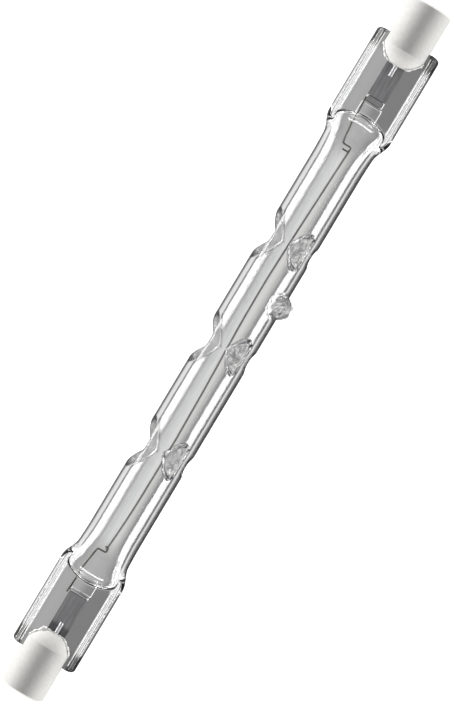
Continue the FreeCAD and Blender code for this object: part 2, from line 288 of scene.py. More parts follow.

# %% [markdown]
# The Light Path node tells who is looking. The camera sees the plain table, lifted to white. Glass
# and metal see the painted shadow instead, and a first mirror image on the lamp's outside is dimmed
# by painted shade, most of all on the side of -Y.

# %% Who sees the floor
FLOOR_CAMERA_LIFT = 0.9
path = add_node(tree, "ShaderNodeLightPath")
# painted shade on reflections: the first mirror image of the table is dimmed, more towards -Y
painted_reflection_shade = eased_range(tree, axes["Y"], -6.0, 6.0, 0.9, 0.6)
first_bounce = math_node(tree, "LESS_THAN", path.outputs["Ray Depth"], 1.5)
from_outside = math_node(tree, "MULTIPLY", path.outputs["Is Reflection Ray"], first_bounce)
mirrored = math_node(tree, "SUBTRACT", 1.0, math_node(tree, "MULTIPLY", from_outside, painted_reflection_shade))
shade = add_node(tree, "ShaderNodeEmission", {"Color": shadow, "Strength": mirrored})
shader.inputs["Emission Color"].default_value = (1.0, 1.0, 1.0, 1.0)
lift = math_node(tree, "MULTIPLY", path.outputs["Is Camera Ray"], FLOOR_CAMERA_LIFT)
tree.links.new(lift, shader.inputs["Emission Strength"])
by_glass = math_node(tree, "MAXIMUM", path.outputs["Is Glossy Ray"], path.outputs["Is Transmission Ray"])
choose(tree, by_glass, shader, shade)
floor_mesh.materials.append(paper)
print("floor material nodes", len(tree.nodes))

# %% [markdown]
# Two long soft lights stand low on both sides of the lamp, the stronger one on +Y. They leave the
# top of the caps a little darker than the flanks, as in the photograph. Two smaller ones stand
# beyond the lamp's ends. The world adds a weak, even fill, and more of it for rays through glass.

# %% Lights
def soft_light(name, place_mm, size_mm, watts):
    data = bpy.data.lights.new(name, "AREA")
    data.shape = "RECTANGLE"
    data.size, data.size_y = (s * MM for s in size_mm)
    data.energy = watts
    light = bpy.data.objects.new(name, data)
    light.location = [p * MM for p in place_mm]
    light.rotation_mode = "QUATERNION"
    light.rotation_quaternion = (-light.location).to_track_quat("-Z", "Y")
    scene.collection.objects.link(light)
    return light


soft_light("light_left", (0, 300, 38), (420, 76), 1.1)
soft_light("light_right", (0, -300, 38), (420, 76), 0.85)
soft_light("light_ahead", (300, 0, 34), (240, 60), 0.6)
soft_light("light_behind", (-300, 0, 34), (240, 60), 0.6)

WORLD_FILL = 0.06
WORLD_THROUGH_GLASS = 0.75
world = bpy.data.worlds.new("studio")
world.use_nodes = True
world.node_tree.nodes["Background"].inputs["Color"].default_value = (1.0, 1.0, 1.0, 1.0)
tree = world.node_tree
path = add_node(tree, "ShaderNodeLightPath")
through_glass = math_node(tree, "MULTIPLY", path.outputs["Is Transmission Ray"], WORLD_THROUGH_GLASS)
fill = math_node(tree, "ADD", through_glass, WORLD_FILL)
tree.links.new(fill, tree.nodes["Background"].inputs["Strength"])
scene.world = world
scene.view_settings.view_transform = "Standard"

# %% [markdown]
# Every new piece goes through one helper: it takes a mesh, shades it smooth except at true corners,
# gives it its finish, parents it to the empty of the body it rides on and, where there is one, hides
# the CAD node it stands for.

# %% Piece helper
def new_piece(name, mesh, material, node, corner_deg=40.0):
    mesh.shade_smooth()
    mesh.set_sharp_from_angle(angle=math.radians(corner_deg))
    mesh.materials.clear()
    mesh.materials.append(material)
    piece = bpy.data.objects.new(name, mesh)
    scene.collection.objects.link(piece)
    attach(piece, "root")
    if node:
        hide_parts(node)
    mesh.calc_loop_triangles()
    print(name, len(mesh.loop_triangles), "triangles")
    return piece


# %% [markdown]
# Fused quartz is clear, with an index of refraction of 1.458. A painted edge shade darkens its colour
# at flat angles, a little more on the side of -Y. The necks get less of this painted shade than the
# tube, and the outer ends of the seals are darker in mottled patches.

# %% Quartz material
DARK_END_SCALE = 1200.0
quartz, tree, shader = new_material(
    "clear_quartz", Base_Color=(1.0, 1.0, 1.0, 1.0), Roughness=0.0, IOR=1.458, Transmission_Weight=1.0)
axes = places_in(tree)
# painted edge shade: the glass colour goes dark where the surface is seen at a flat angle
facing = add_node(tree, "ShaderNodeLayerWeight", {"Blend": 0.5})
# painted shade: the edge darkening leans a little more to the side of -Y
painted_side_shade = eased_range(tree, axes["Y"], -3.0, 3.0, 0.05, -0.08)
painted_shade_and_dark_ends = math_node(tree, "ADD", facing.outputs["Facing"], painted_side_shade)
along = math_node(tree, "ABSOLUTE", axes["X"])
# less painted edge shade on the necks
less_neck_shade = math_node(tree, "MULTIPLY", eased_range(tree, along, 35.5, 36.8, 0.0, 1.0),
                    eased_range(tree, along, 38.4, 39.4, 0.35, 0.0))
painted_shade_and_dark_ends = math_node(tree, "SUBTRACT", painted_shade_and_dark_ends, less_neck_shade)
# darker mottled patches at the outer ends of the seals
dark_seal_ends = math_node(tree, "MULTIPLY", noise_on(tree, DARK_END_SCALE, 2.0),
                  eased_range(tree, along, 49.4, 50.8, 0.0, 0.7))
painted_shade_and_dark_ends = math_node(tree, "ADD", painted_shade_and_dark_ends, dark_seal_ends)
print("index of refraction", round(shader.inputs["IOR"].default_value, 3))

# %% [markdown]
# Where the glass was softened and pressed, an attribute of the mesh says how far. Pressed glass gets
# less of the painted edge shade at flat angles, most of all near the lamp's middle line, and a little
# less again at the tip; it is cloudy in small patches. The exhaust tip is pressed glass too, but
# without the clouds.

# %% Pressed glass
TIP_PLACE = 9.3
CLOUD_SCALE = 1400.0
pressed = add_node(tree, "ShaderNodeAttribute", attribute_name="pressed")
off_tip = math_node(tree, "ABSOLUTE", math_node(tree, "SUBTRACT", axes["X"], TIP_PLACE * MM))
# less painted edge shade on pressed glass, most near the middle line and at the tip
less_painted_shade = math_node(tree, "MULTIPLY", eased_range(tree, axes["Y"], -2.4, -1.4, 0.0, 0.4),
                  eased_range(tree, axes["Y"], 1.0, 2.0, 1.0, 0.2))
less_painted_shade = math_node(tree, "ADD", less_painted_shade, eased_range(tree, off_tip, 2.2, 3.0, 0.12, 0.0))
less_painted_shade = math_node(tree, "MULTIPLY", pressed.outputs["Fac"], less_painted_shade)
painted_shade_and_dark_ends = math_node(tree, "SUBTRACT", painted_shade_and_dark_ends, less_painted_shade)
# painted edge shade: the ramp turns the share into a dark tint of the glass colour
edge = ramp_on(tree, painted_shade_and_dark_ends, [(0.48, 1.0), (0.56, 0.15), (0.66, 0.02), (1.0, 0.01)])
cloud = ramp_on(tree, noise_on(tree, CLOUD_SCALE, 2.0), [(0.42, 0.45), (0.58, 1.15)])
cloudy = math_node(tree, "MULTIPLY", pressed.outputs["Fac"],
                   eased_range(tree, off_tip, 2.4, 3.0, 0.0, 1.0))
tint = product(tree, mixed(tree, cloudy, (1.0, 1.0, 1.0, 1.0), cloud), edge)
tree.links.new(tint, shader.inputs["Base Color"])
print("quartz nodes so far", len(tree.nodes))

# %% [markdown]
# A slow noise ripples the whole skin by a hair, and a finer one crumples the pressed parts, most of
# all the tip. Last, the quartz lets shadow rays pass: bent light would not find the lights again, and
# the foils and leads in the glass would stay dark.

# %% Ripples and light through the glass
RIPPLE_SCALE, RIPPLE_HEIGHT = 450.0, 0.00003
CRUMPLE_SCALE, CRUMPLE_HEIGHT = 2300.0, 0.00042
TIP_CRUMPLE = 1.8
waves = noise_on(tree, RIPPLE_SCALE, 2.0, (0.4, 1.0, 1.0))
ripple = bump_on(tree, shader, waves, RIPPLE_HEIGHT, 0.5)
crumple = math_node(tree, "MULTIPLY", noise_on(tree, CRUMPLE_SCALE, 2.0), pressed.outputs["Fac"])
crumple = math_node(tree, "MULTIPLY", crumple, eased_range(tree, off_tip, 2.4, 3.0, TIP_CRUMPLE, 1.0))
bump_on(tree, shader, crumple, CRUMPLE_HEIGHT, 1.0, ripple)
clear = add_node(tree, "ShaderNodeBsdfTransparent", {"Color": (0.9, 0.9, 0.9, 1.0)})
path = add_node(tree, "ShaderNodeLightPath")
choose(tree, path.outputs["Is Shadow Ray"], shader, clear)
print("quartz nodes", len(tree.nodes))

# %% [markdown]
# The envelope is one piece of glass with an outer and an inner skin. Both are rings of points, one
# ring per place along the lamp. In the straight part a ring is a circle that dents push in. A dent
# is what a bevelled wheel would press: the field below is negative in the glass and positive in
# the wheel, and where its smooth maximum crosses zero along each ray from the axis lies the skin.
# The same field, moved in by the dent's wall, shapes the inner skin.
#
# Each station has a pointed notch on the side of +Y, two dents on the side of -Y that are triangles
# seen from above, and a shallow one between those two. A floor that widens in one direction makes
# the points and triangles.

# %% Dented tube
TUBE_RADIUS = 8.25 / 2
WALL = 0.87
BORE_RADIUS = TUBE_RADIUS - WALL
DENT_PLACES = (-17.9, 0.0, 17.9)
# turn: the dent's direction round the tube in degrees; wheel: the wheel's radius; nearest: how near
# the wheel comes to the axis; floor: half the floor's length at the axis, below zero where there is
# none; widen: how much that grows per millimetre in the direction toward (in degrees), up to widest;
# slope: of the dent's ends in degrees; wall: the glass left under the dent; soft: how soft its edges
# are
Dent = namedtuple("Dent", "turn wheel nearest floor widen toward widest slope wall soft")
DENTS = [
    Dent(0.0, 3.6, 1.65, -1.25, 0.85, 0.0, 1.0, slope=50.0, wall=1.2, soft=0.45),
    Dent(110.0, 1.7, 2.2, 0.75, 1.3, 200.0, 2.4, slope=57.0, wall=0.45, soft=0.15),
    Dent(250.0, 1.7, 2.2, 0.75, 1.3, 160.0, 2.4, slope=57.0, wall=0.45, soft=0.15),
    Dent(180.0, 3.3, 3.65, 0.8, 0.0, 0.0, 0.8, slope=42.0, wall=0.6, soft=0.4),
]
RING_POINTS = 144
ring_turn = np.linspace(0.0, 2 * np.pi, RING_POINTS, endpoint=False)


def smooth_max(a, b, width):
    near = np.clip(width - np.abs(a - b), 0.0, None) / width
    return np.maximum(a, b) + near * near * width / 4


def smooth_min(a, b, width):
    return -smooth_max(-a, -b, width)


def dent_field(x, y, z, place, dent):
    """How deep a point is inside one dent's wheel."""
    turn, toward, slope = (math.radians(angle) for angle in (dent.turn, dent.toward, dent.slope))
    away = dent.nearest + dent.wheel
    reach = np.hypot(y - away * math.cos(turn), z - away * math.sin(turn)) - dent.wheel
    grown_floor = dent.floor + dent.widen * (y * math.cos(toward) + z * math.sin(toward))
    half_floor = np.minimum(grown_floor, dent.widest)
    side = (np.abs(x - place) - half_floor) * math.sin(slope) + reach * math.cos(slope)
    return -smooth_max(reach, side, dent.soft)


print("stations", len(DENT_PLACES), "with", len(DENTS), "dents each")

# %% [markdown]
# The exhaust tip is where the lamp was filled and melted shut: a squat dome with a small nib on the
# side of the tube. It is another field, joined with a smooth minimum so that its foot flows into
# the tube. The closed end of the filling hole is its counterpart on the inner skin.

# %% Exhaust tip
TIP_ANGLE = math.radians(180.0 - 32.0)
TIP_RADIUS = 1.8
TIP_RISE = 1.65
NIB = (0.8, 0.55, 1.45)
NIB_RADIUS = 0.36
DOME_POWER = 2.6
HOLE_RADII = (0.95, 0.2)
HOLE_FOOT, HOLE_TOP = -2.0, 0.8


def tip_frame(x, y, z):
    """Places along the lamp and across it from the tip's axis, and height over the tube."""
    height = y * math.cos(TIP_ANGLE) + z * math.sin(TIP_ANGLE)
    across = -y * math.sin(TIP_ANGLE) + z * math.cos(TIP_ANGLE)
    return x - TIP_PLACE, across, height - TUBE_RADIUS


def tip_field(x, y, z):
    along, across, height = tip_frame(x, y, z)
    lumps = 0.13 * np.sin(4.1 * x + 2.3 * y) * np.sin(3.7 * z + 1.0)
    lumps += 0.07 * np.sin(9.7 * x - 4.0 * z) * np.sin(8.3 * y + 0.6)
    away = np.hypot(along, across)
    dome = (away / TIP_RADIUS) ** DOME_POWER + (np.abs(height) / TIP_RISE) ** DOME_POWER
    dome = dome ** (1 / DOME_POWER) - 1.0
    nib = np.sqrt((along - NIB[0]) ** 2 + (across - NIB[1]) ** 2 + (height - NIB[2]) ** 2) - NIB_RADIUS
    return smooth_min(dome * TIP_RISE + lumps, nib, 0.2)


def tip_hole_field(x, y, z):
    along, across, height = tip_frame(x, y, z)
    share = np.clip((height - HOLE_FOOT) / (HOLE_TOP - HOLE_FOOT), 0.0, 1.0)
    flank = np.hypot(along, across) - (HOLE_RADII[0] * (1 - share) + HOLE_RADII[1] * share)
    return np.maximum(np.maximum(flank, height - HOLE_TOP), -height - 3.5)


print("tip rises", round(TIP_RISE, 2), "mm over the tube at", round(math.degrees(TIP_ANGLE)), "degrees")

# %% [markdown]
# Now the fields become radii. Along each ray from the axis the combined field changes its sign at
# the skin, and a straight line between the two samples next to that gives the place.

# %% Radii of the skins
RAY_START, RAY_BEYOND, RAY_SAMPLES = 0.3, 2.6, 150
DENT_REACH = 5.6
TIP_REACH = 3.0
OUTER_TIP_BLEND, INNER_TIP_BLEND = 0.5, 0.3


def skin_radius(places, radius, walls, tip, tip_blend):
    """Radius of the skin along every ray; walls is 0 for the outer skin and 1 for the inner one."""
    rays = np.linspace(RAY_START, TUBE_RADIUS + RAY_BEYOND, RAY_SAMPLES)
    result = np.full((len(places), RING_POINTS), radius)
    for row, place in enumerate(places):
        stations = [s for s in DENT_PLACES if abs(place - s) < DENT_REACH]
        by_tip = abs(place - TIP_PLACE) < TIP_REACH
        if not stations and not by_tip:
            continue
        y = rays[None, :] * np.cos(ring_turn)[:, None]
        z = rays[None, :] * np.sin(ring_turn)[:, None]
        field = np.broadcast_to(rays[None, :] - radius, y.shape).copy()
        for station in stations:
            for dent in DENTS:
                pushed = dent_field(place, y, z, station, dent) + walls * dent.wall
                field = smooth_max(field, pushed, dent.soft)
        if by_tip:
            field = smooth_min(field, tip(place, y, z), tip_blend)
        out = np.argmax(field > 0.0, axis=1)
        rows = np.arange(RING_POINTS)
        inside, outside = field[rows, out - 1], field[rows, out]
        share = -inside / (outside - inside)
        result[row] = rays[out - 1] + share * (rays[out] - rays[out - 1])
    return result


middle = skin_radius([0.0], TUBE_RADIUS, 0.0, tip_field, OUTER_TIP_BLEND)
print("radii at the middle station from", round(middle.min(), 2), "to", round(middle.max(), 2), "mm")

# %% [markdown]
# The seal is a flat web between two thicker rails, as the jaws press the soft glass. A ring of the
# tube keeps its points all the way: those near +Y and -Y become the rails, those above and below
# become the web's two faces. A rail's section is half an ellipse with a small round to the web.

# %% Seal section
WEB_HALF = 1.1
SEAL_HALF = 5.25
RAIL_HALF = 1.7
RAIL_FOOT = 3.95
RAIL_TURN = math.radians(55.0)
RAIL_OUT = 0.75
CREST_ROUND = 0.35
FOOT_ROUND = 0.2


def arc(centre, radius, start_deg, end_deg, count=6):
    turns = np.radians(np.linspace(start_deg, end_deg, count))
    return [(centre[0] + radius * math.cos(t), centre[1] + radius * math.sin(t)) for t in turns]


RAIL_CROWN = SEAL_HALF - RAIL_OUT
rail_line = [(RAIL_CROWN + RAIL_OUT * math.cos(t), RAIL_HALF * math.sin(t))
             for t in np.linspace(0.0, np.pi / 2, 14)]
rail_line += arc((RAIL_CROWN, RAIL_HALF - CREST_ROUND), CREST_ROUND, 100.0, 160.0, 5)
rail_line += arc((RAIL_FOOT, WEB_HALF + FOOT_ROUND), FOOT_ROUND, -20.0, -90.0, 4)
rail_line = np.array(rail_line)
rail_run = np.concatenate([[0.0], np.cumsum(np.hypot(*np.diff(rail_line, axis=0).T))])


def seal_point(turn):
    """Where a ring's point lies on the pressed seal, for a turn in the first quarter."""
    run = np.clip(turn / RAIL_TURN, 0.0, 1.0) * rail_run[-1]
    y = np.interp(run, rail_run, rail_line[:, 0])
    z = np.interp(run, rail_run, rail_line[:, 1])
    on_web = turn > RAIL_TURN
    return np.where(on_web, rail_line[-1, 0] * np.cos(turn) / math.cos(RAIL_TURN), y), z


quarter = np.arcsin(np.abs(np.sin(ring_turn)))
sign_y, sign_z = np.sign(np.cos(ring_turn)), np.sign(np.sin(ring_turn))
seal_y, seal_z = seal_point(quarter)
print("seal", round(2 * seal_y.max(), 2), "mm wide, rails", round(2 * seal_z.max(), 2), "mm thick")

# %% [markdown]
# Between tube and seal lies the neck. Its sides spread, its top comes down like a dome, and a sloped
# shoulder ends it at the web. The hollow inside follows the neck's form and closes in a round end.

# %% Necks
TUBE_END = 31.0
SHOULDER = 39.9
HOLLOW_END = 39.5
HOLLOW_ROUND = 37.8
SEAL_END = 52.6
NECK_HALF_WIDTH = 4.7
SHOULDER_SAG = 1.2
SHOULDER_SLOPE = 1.35
RAILS_FROM, RAILS_FULL = 35.0, 38.4
BEVEL_SOFT, RAIL_SOFT = 0.9, 0.55
END_ROUND = 0.25
END_CORNER, CORNER_RUN = 0.45, 0.6
HOLLOW_LOW = 0.12


def eased(value, start, end):
    share = np.clip((value - start) / (end - start), 0.0, 1.0)
    return share * share * (3.0 - 2.0 * share)


def dome(place, end, radius, end_half_width, end_half_height):
    """Half width and half height of the neck at a place."""
    along = np.clip((place - TUBE_END) / (end - TUBE_END), 0.0, 1.0)
    half_width = radius + (end_half_width - radius) * along ** 2
    half_height = end_half_height + (radius - end_half_height) * np.sqrt(1.0 - along ** 2)
    return half_width, half_height


def outer_end_ring(place):
    """(y, z) of the outer skin at |x| beyond the straight tube."""
    half_width, half_height = dome(place, SHOULDER + 0.5, TUBE_RADIUS, NECK_HALF_WIDTH, WEB_HALF)
    grow = eased(place, RAILS_FROM, RAILS_FULL)
    neck_y = half_width * np.cos(quarter)
    y = neck_y + (seal_y - neck_y) * grow
    plain_z = half_height * np.sin(quarter)
    dome_z = half_height * np.sqrt(np.clip(1.0 - (y / half_width) ** 2, 0.0, 1.0))
    foot = SHOULDER - SHOULDER_SAG * (y / RAIL_FOOT) ** 2
    bevel_z = WEB_HALF + (foot - place) * SHOULDER_SLOPE
    pressed_z = smooth_max(smooth_min(dome_z, bevel_z, BEVEL_SOFT), seal_z, RAIL_SOFT)
    z = plain_z + (pressed_z - plain_z) * grow
    end_round = np.clip((place - SEAL_END + END_ROUND) / END_ROUND, 0.0, 1.0)
    inset = END_ROUND * (1.0 - np.sqrt(1.0 - end_round ** 2))
    corner = END_CORNER * np.clip((place - SEAL_END + CORNER_RUN) / CORNER_RUN, 0.0, 1.0) ** 2
    y = y * (1.0 - (inset + corner) / SEAL_HALF)
    z = z * (1.0 - inset / RAIL_HALF)
    return sign_y * np.abs(y), sign_z * z


def inner_end_ring(place):
    half_width, half_height = dome(place, HOLLOW_END, BORE_RADIUS, NECK_HALF_WIDTH - WALL, HOLLOW_LOW)
    share = np.clip((place - HOLLOW_ROUND) / (HOLLOW_END - HOLLOW_ROUND), 0.0, 0.99)
    half_width *= math.sqrt(1.0 - share ** 2)
    return half_width * np.cos(ring_turn), half_height * np.sin(ring_turn)


neck_y, neck_z = outer_end_ring(RAILS_FROM)
print("neck where the rails begin", round(2 * neck_y.max(), 2), "by", round(2 * neck_z.max(), 2), "mm")

# %% [markdown]
# The places of the rings are close together where the form changes fast, at the dents, the tip and
# the shoulders, and far apart on the plain tube. Quads join neighbouring rings, and one face closes
# each end. The inner skin has its faces turned round, so that all faces point out of the glass.

# %% Ring places and skins
def ring_places(neck_end, extra):
    neck = TUBE_END + (neck_end - TUBE_END) * np.sin(np.linspace(0.0, np.pi / 2, 40))
    half = np.concatenate([neck, np.arange(23.5, 31.0, 1.25), extra])
    dented = np.concatenate([s + np.linspace(-4.4, 4.4, 53) for s in DENT_PLACES])
    tip = TIP_PLACE + np.linspace(-2.7, 2.7, 41)
    plain = np.arange(-12.0, -5.5, 1.0)
    return np.unique(np.round(np.concatenate([half, -half, dented, tip, plain]), 3))


def skin(places, radius, walls, tip, tip_blend, end_ring):
    straight = skin_radius(places, radius, walls, tip, tip_blend)
    points = np.zeros((len(places), RING_POINTS, 3))
    for row, place in enumerate(places):
        if abs(place) <= TUBE_END:
            y, z = straight[row] * np.cos(ring_turn), straight[row] * np.sin(ring_turn)
        else:
            y, z = end_ring(abs(place))
        points[row] = np.stack([np.full(RING_POINTS, place), y, z], axis=1)
    return points


def skin_faces(rings, first, turned_in):
    faces = []
    for row in range(rings - 1):
        for k in range(RING_POINTS):
            after = (k + 1) % RING_POINTS
            a, b = first + row * RING_POINTS, first + (row + 1) * RING_POINTS
            faces.append((a + k, a + after, b + after, b + k))
    faces.append(tuple(first + k for k in reversed(range(RING_POINTS))))
    last = first + (rings - 1) * RING_POINTS
    faces.append(tuple(last + k for k in range(RING_POINTS)))
    return faces if not turned_in else [face[::-1] for face in faces]


seal_places = np.concatenate([
    np.arange(35.0, SHOULDER + 0.6, 0.1), np.arange(41.0, 51.6, 0.8),
    SEAL_END - np.array([0.6, 0.45, 0.32, 0.25, 0.15, 0.07, 0.02, 0.0])])
outer_places = ring_places(SHOULDER, seal_places)
inner_places = ring_places(HOLLOW_END, np.array([]))
outer = skin(outer_places, TUBE_RADIUS, 0.0, tip_field, OUTER_TIP_BLEND, outer_end_ring)
inner = skin(inner_places, BORE_RADIUS, 1.0, tip_hole_field, INNER_TIP_BLEND, inner_end_ring)
print("outer rings", len(outer_places), "inner rings", len(inner_places))

# %% [markdown]
# Round the foil's inner end the glass did not quite close: a flat pocket stays there, which shows
# as a pale outlined rectangle. It is a third closed skin inside the glass, made of rounded
# rectangles that shrink towards the pocket's flat faces.

# %% Gas pockets
# Where a pocket starts and ends, and half its width, for the +X (1) and the -X (-1) seal
POCKETS = {
    1: [(39.55, 41.85, 1.72), (41.98, 43.1, 1.5)],
    -1: [(39.55, 41.7, 1.72), (41.83, 42.25, 1.6)],
}
POCKET_LIP = [(-0.2, 0.15), (0.0, 0.0), (0.2, 0.15)]
POCKET_CORNER = 0.2


def pocket_skin(side, start, end, half_width):
    """Points and faces of one pocket: a rounded rectangle with bevelled lips."""
    middle, half_length = (start + end) / 2, (end - start) / 2
    loop = []
    for cx, cy, turn in ((1, 1, 0), (-1, 1, 90), (-1, -1, 180), (1, -1, 270)):
        centre = (cx * (half_length - POCKET_CORNER), cy * (half_width - POCKET_CORNER))
        loop += arc(centre, POCKET_CORNER, turn, turn + 90, 5)
    loop = np.array(loop)
    points, rings = [], []
    for height, inset in POCKET_LIP:
        ring = loop * (1.0 - inset / half_length, 1.0 - inset / half_width)
        rings.append(len(points))
        points += [(side * (middle + x), y, height) for x, y in ring]
    count = len(loop)
    faces = []
    for low, high in zip(rings, rings[1:]):
        for k in range(count):
            after = (k + 1) % count
            faces.append((low + k, high + k, high + after, low + after))
    faces.append(tuple(rings[0] + k for k in range(count)))
    faces.append(tuple(rings[-1] + k for k in reversed(range(count))))
    return points, faces if side > 0 else [face[::-1] for face in faces]


print("pockets", sum(len(pockets) for pockets in POCKETS.values()))

# %% [markdown]
# The melted tip is full of small bubbles, which show as dots with bright rims. Each is a closed ball
# of gas in the glass. A fixed seed scatters them round the filling hole.

# %% Bubbles
BUBBLES = 22
BUBBLE_RADII = (0.09, 0.2)
BUBBLE_SEED = 11
BUBBLE_SPREAD = 1.6
BUBBLE_HEIGHTS = (-0.3, 1.3)
BUBBLE_COVER = 0.06
BUBBLE_GAP = 0.04


def bubble_skin(centre, radius, belts=6, points_round=10):
    """Points and faces of a small ball, with its faces turned to its inside."""
    points = [tuple(centre + (0.0, 0.0, -radius))]
    for level in np.linspace(-np.pi / 2, np.pi / 2, belts + 1)[1:-1]:
        for turn in np.linspace(0.0, 2 * np.pi, points_round, endpoint=False):
            flat = radius * math.cos(level)
            offset = (flat * math.cos(turn), flat * math.sin(turn), radius * math.sin(level))
            points.append(tuple(centre + offset))
    points.append(tuple(centre + (0.0, 0.0, radius)))
    last, faces = len(points) - 1, []
    for k in range(points_round):
        after = (k + 1) % points_round
        faces.append((0, 1 + k, 1 + after))
        faces.append((last, last - points_round + after, last - points_round + k))
        for belt in range(belts - 2):
            a = 1 + belt * points_round
            faces.append((a + k, a + points_round + k, a + points_round + after, a + after))
    return points, faces


def tip_bubbles():
    """Centres and radii of the bubbles, in the lamp's own frame."""
    chance = np.random.default_rng(BUBBLE_SEED)
    out = np.array([0.0, math.cos(TIP_ANGLE), math.sin(TIP_ANGLE)])
    across = np.array([0.0, -math.sin(TIP_ANGLE), math.cos(TIP_ANGLE)])
    found = []
    while len(found) < BUBBLES:
        radius = chance.uniform(*BUBBLE_RADII)
        away, turn = chance.uniform(0.0, BUBBLE_SPREAD), chance.uniform(0.0, 2 * np.pi)
        height = chance.uniform(*BUBBLE_HEIGHTS)
        centre = np.array([TIP_PLACE + away * math.cos(turn), 0.0, 0.0])
        centre += out * (TUBE_RADIUS + height) + across * away * math.sin(turn)
        cover = radius + BUBBLE_COVER
        in_glass = tip_field(*centre) < -cover and tip_hole_field(*centre) > cover
        apart = all(np.linalg.norm(centre - other) > radius + size + BUBBLE_GAP for other, size in found)
        if in_glass and apart:
            found.append((centre, radius))
    return found


bubbles = tip_bubbles()
print("bubbles", len(bubbles), "up to", round(2 * max(radius for _, radius in bubbles), 2), "mm wide")

# %% [markdown]
# The two skins, the pockets and the bubbles become one mesh. Each point also carries how far the
# glass was pressed out of its round form there, and the material crumples the surface by that
# measure.

# %% Envelope
PRESSED_FULL = 0.5
points = [tuple(p) for p in outer.reshape(-1, 3)]
faces = skin_faces(len(outer_places), 0, False)
faces += skin_faces(len(inner_places), len(points), True)
points += [tuple(p) for p in inner.reshape(-1, 3)]
for side in (1, -1):
    for pocket in POCKETS[side]:
        pocket_points, pocket_faces = pocket_skin(side, *pocket)
        faces += [tuple(len(points) + k for k in face) for face in pocket_faces]
        points += pocket_points
for centre, radius in bubbles:
    bubble_points, bubble_faces = bubble_skin(centre, radius)
    faces += [tuple(len(points) + k for k in face) for face in bubble_faces]
    points += bubble_points
envelope_mesh = bpy.data.meshes.new("quartz_envelope_glass")
envelope_mesh.from_pydata([tuple(c * MM for c in p) for p in points], [], faces)
envelope_mesh.update()
pressed_share = np.zeros(len(points), dtype=np.float32)
for first, skin_points, radius in ((0, outer, TUBE_RADIUS), (outer.size // 3, inner, BORE_RADIUS)):
    change = np.abs(np.hypot(skin_points[..., 1], skin_points[..., 2]) - radius) / PRESSED_FULL
    change *= np.abs(skin_points[..., 0]) < TUBE_END
    pressed_share[first:first + change.size] = np.clip(change, 0.0, 1.0).ravel()
envelope_mesh.attributes.new("pressed", "FLOAT", "POINT").data.foreach_set("value", pressed_share)
new_piece("quartz_envelope_glass", envelope_mesh, quartz, "quartz_envelope", corner_deg=44.0)

# %% [markdown]
# Tungsten and molybdenum are grey metals. Drawn wire has fine lines along it, and the rolled foil
# is a little uneven. Both get their lines from noise that is stretched along the lamp. Next to the
# welds with the outer leads the foil is darker.

# %% Metal materials
DRAWN_LINES = (3000.0, 4.0, (0.08, 1.0, 1.0))
tungsten = mottled(
    "dark_tungsten", (2500.0,), [(0.3, (0.045, 0.043, 0.04)), (0.7, (0.10, 0.095, 0.09))],
    Metallic=1.0, Roughness=0.45)
wire_grey = mottled(
    "molybdenum_wire", DRAWN_LINES, [(0.25, (0.3, 0.3, 0.31)), (0.75, (0.44, 0.44, 0.45))],
    Metallic=1.0, Roughness=0.35)
nickel = mottled(
    "nickel_contact", (4000.0, 4.0), [(0.3, (0.56, 0.53, 0.48)), (0.7, (0.72, 0.69, 0.63))],
    (0.00001, 0.4), Metallic=1.0, Roughness=0.3)

molybdenum, tree, shader = new_material("rolled_molybdenum", Metallic=1.0, Roughness=0.4)
lines = noise_on(tree, *DRAWN_LINES)
colour = ramp_on(tree, lines, [(0.25, (0.17, 0.17, 0.175)), (0.75, (0.28, 0.28, 0.285))])
by_weld = ramp_across(tree, places_in(tree)["X"], [
    (-49.5, 0.5), (-47.6, 0.5), (-47.1, 1.0), (46.6, 1.0), (47.6, 0.85)])
tree.links.new(product(tree, colour, by_weld), shader.inputs["Base Color"])
bump_on(tree, shader, lines, 0.00001, 0.4)
print("metals", [m.name for m in (tungsten, molybdenum, wire_grey, nickel)])

# %% [markdown]
# Wires are grown by Geometry Nodes trees. A tree has named inputs, and ends with Realize Instances
# and Set Material. Helpers start and end a tree, sweep a round wire along a curve, make a path curve
# in the lamp, and turn what a tree grows on it into a mesh.

# %% Tree helpers
def new_tree(name, inputs):
    """A Geometry Nodes tree with named inputs; returns it with its group ends."""
    tree = bpy.data.node_groups.new(name, "GeometryNodeTree")
    tree.interface.new_socket("Geometry", in_out="INPUT", socket_type="NodeSocketGeometry")
    ids = {}
    for label, kind in inputs:
        ids[label] = tree.interface.new_socket(label, in_out="INPUT", socket_type=kind).identifier
    tree.interface.new_socket("Geometry", in_out="OUTPUT", socket_type="NodeSocketGeometry")
    return tree, ids, tree.nodes.new("NodeGroupInput"), tree.nodes.new("NodeGroupOutput")


def end_tree(tree, geometry, material, group_out):
    """Realize Instances and Set Material close every tree."""
    realize = add_node(tree, "GeometryNodeRealizeInstances", {"Geometry": geometry})
    paint = add_node(tree, "GeometryNodeSetMaterial", {
        "Geometry": realize.outputs["Geometry"], "Material": material})
    tree.links.new(paint.outputs["Geometry"], group_out.inputs[0])


def swept(tree, curve, radius, sides):
    """A round profile swept along a curve, with closed ends."""
    profile = add_node(tree, "GeometryNodeCurvePrimitiveCircle", {"Resolution": sides, "Radius": radius})
    sweep = add_node(tree, "GeometryNodeCurveToMesh", {
        "Curve": curve, "Profile Curve": profile.outputs["Curve"], "Fill Caps": True})
    return sweep.outputs["Mesh"]


def path_object(name, points_mm, order=3):
    """A smooth path curve through the lamp, as the input of a tree."""
    data = bpy.data.curves.new(name, "CURVE")
    data.dimensions = "3D"
    data.resolution_u = 12
    spline = data.splines.new("NURBS")
    spline.points.add(len(points_mm) - 1)
    for point, place in zip(spline.points, points_mm):
        point.co = (*(c * MM for c in place), 1.0)
    spline.order_u = order
    spline.use_endpoint_u = True
    path = bpy.data.objects.new(name, data)
    scene.collection.objects.link(path)
    return path


